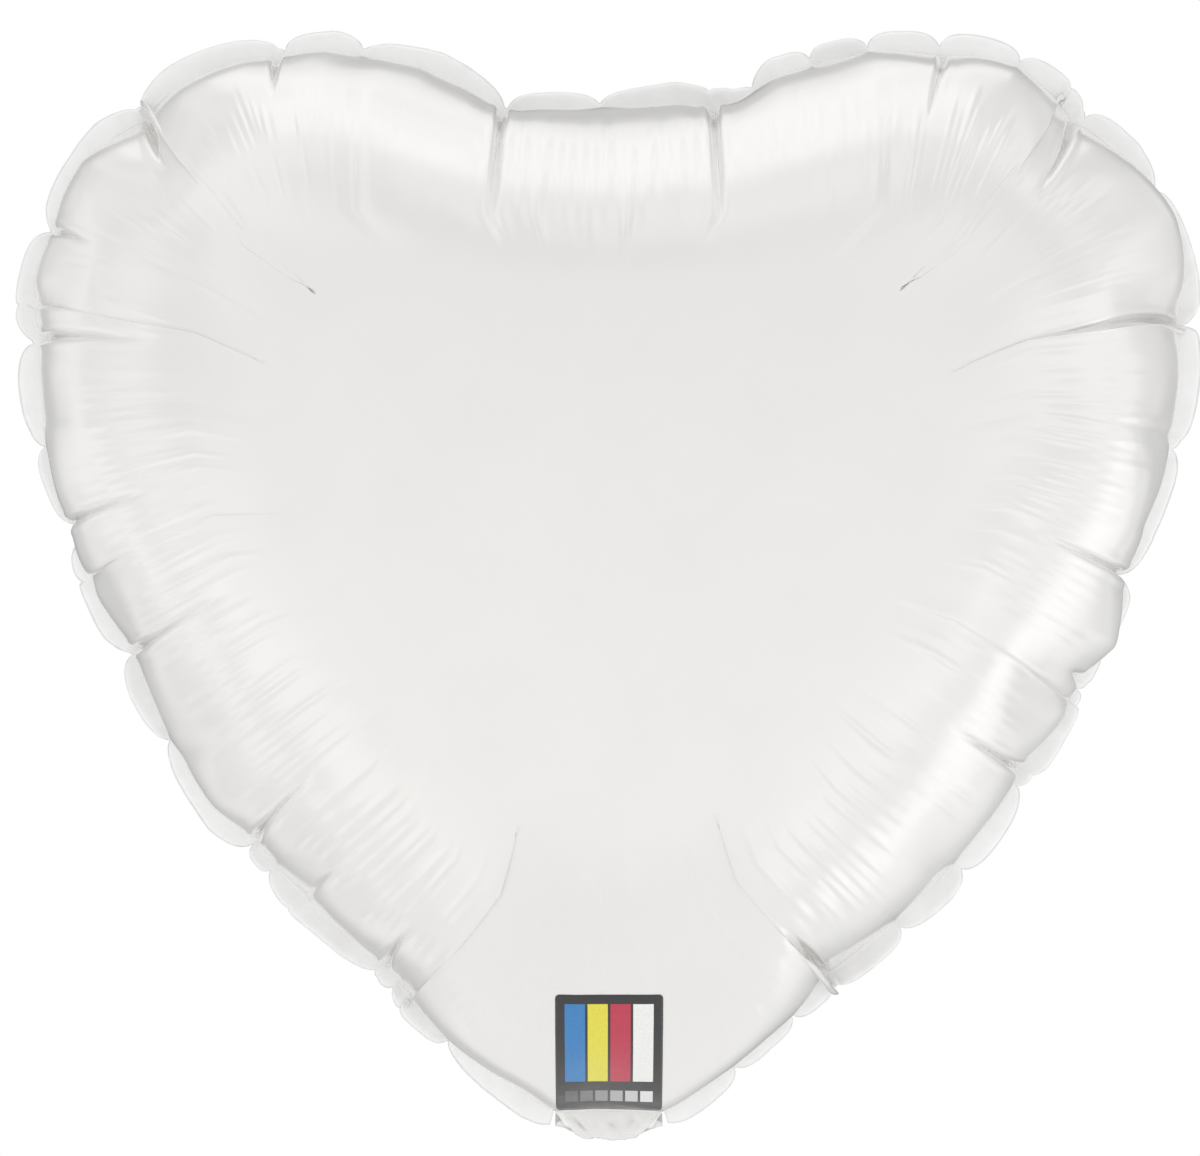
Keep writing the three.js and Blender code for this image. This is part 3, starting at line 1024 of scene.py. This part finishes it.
def room_patches(tree, direction, y):
    """Soft lighter and darker patches, like windows and walls, everywhere but in front."""
    noise = tree.nodes.new("ShaderNodeTexNoise")
    noise.inputs["Scale"].default_value = 3.3
    noise.inputs["Detail"].default_value = 1
    tree.links.new(direction, noise.inputs["Vector"])
    patched = tree.nodes.new("ShaderNodeMix")
    patched.inputs[2].default_value = 1.0
    tree.links.new(map_range(tree, y, -0.75, -0.45, 0, 1), patched.inputs[0])
    tree.links.new(map_range(tree, noise.outputs["Fac"], 0.4, 0.6, 0.82, 1.13), patched.inputs[3])
    return patched.outputs[0]


def make_world():
    """A white room, brightest at the sides, dim behind the balloon, and a little dimmer above than
    below. The camera itself sees plain white."""
    world = bpy.data.worlds.new("studio")
    bpy.context.scene.world = world
    world.use_nodes = True
    tree = world.node_tree
    direction = tree.nodes.new("ShaderNodeTexCoord").outputs["Generated"]
    split = tree.nodes.new("ShaderNodeSeparateXYZ")
    tree.links.new(direction, split.inputs[0])
    y, z = split.outputs["Y"], split.outputs["Z"]
    height = map_range(tree, z, -0.6, 0.9, 0.97 * ROOM_SCALE, 0.82 * ROOM_SCALE)
    lit = product(tree, room_curve(tree, y), height)
    whole = product(tree, lit, room_patches(tree, direction, y))
    backdrop = tree.nodes.new("ShaderNodeMix")
    backdrop.inputs[3].default_value = 1.0
    tree.links.new(tree.nodes.new("ShaderNodeLightPath").outputs["Is Camera Ray"], backdrop.inputs[0])
    tree.links.new(whole, backdrop.inputs[2])
    background = tree.nodes["Background"]
    tree.links.new(backdrop.outputs[0], background.inputs["Strength"])
    background.inputs["Color"].default_value = (1, 1, 1, 1)


FLOOR_RADIUS = 1600
FLOOR_Z = -1500
FLOOR_CORNERS = 64


def make_floor():
    """A pale floor a little way below the floating balloon."""
    turns = np.arange(FLOOR_CORNERS) * math.tau / FLOOR_CORNERS
    height = np.full(FLOOR_CORNERS, FLOOR_Z)
    rim = np.stack([FLOOR_RADIUS * np.cos(turns), FLOOR_RADIUS * np.sin(turns), height], 1)
    floor = mesh_object("floor", rim, [list(range(FLOOR_CORNERS))], [0], [floor_material()])


def make_camera():
    """Straight on to the front, far enough away for nearly no perspective."""
    view_width = 0.378
    centre = Vector((-0.0028, 0, 0.1682))
    distance = 2.0
    data = bpy.data.cameras.new("camera")
    data.sensor_width = 36
    data.lens = data.sensor_width * distance / view_width
    camera = bpy.data.objects.new("camera", data)
    camera.location = centre + Vector((0, -distance, 0))
    camera.rotation_euler = (math.pi / 2, 0, 0)
    bpy.context.scene.collection.objects.link(camera)
    bpy.context.scene.camera = camera


# ---- The balloon ---------------------------------------------------------------------------------


make_camera()
make_world()
make_floor()
centre = (0, 0, 0.17)
area_light("softbox_top", (0, 0.42, 1.4), (1.2, 1.2), 0.34, centre)
area_light("softbox_right", (1.1, 0.25, -0.35), (0.5, 1.0), 0.3, centre)
bpy.context.scene.view_settings.view_transform = "Standard"

foil, welded, valve = pearl_foil(), welded_margin_painted_highlight(), valve_film()
inks = {name: ink_material(name, colour) for name, colour in INKS.items()}

panel = Panel()
front = film_object("front_film", panel, 3, -1, [foil, welded])
back = film_object("back_film", panel, 5, 1, [foil, welded])
label = label_object(front, inks)
foils = {"seed": STRIP_SEED, "materials": [foil, welded]}
liners = {"seed": STRIP_SEED, "materials": [valve], "thickness": LINER_THICK}
tail_front = strip_object("neck_and_tail_front", NECK_HALF_WIDTH, FOIL_OFFSET, hole=True, **foils)
tail_back = strip_object("tail_back", NECK_HALF_WIDTH, -FOIL_OFFSET, **foils)
valve_front = strip_object("valve_film_front", LINER_HALF_WIDTH, LINER_OFFSET, **liners)
valve_back = strip_object("valve_film_back", LINER_HALF_WIDTH, -LINER_OFFSET, **liners)
lip_front = lip_object("valve_lip_film_front", -1, valve)
lip_back = lip_object("valve_lip_film_back", 1, valve)

for piece in (front, back, label):
    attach(piece, "envelope")
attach(lip_front, "lip_front")
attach(lip_back, "lip_back")
for piece in (tail_front, tail_back, valve_front, valve_back):
    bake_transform(piece)

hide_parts("front_foil_panel")
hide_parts("back_foil_panel")
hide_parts("printed_label")
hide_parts("neck_fold", "tail_foil_front")
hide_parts("tail_foil_back")
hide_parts("valve_liner_front", "tail_liner_front")
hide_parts("valve_liner_back", "tail_liner_back")
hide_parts("valve_lip_front")
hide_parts("valve_lip_back")
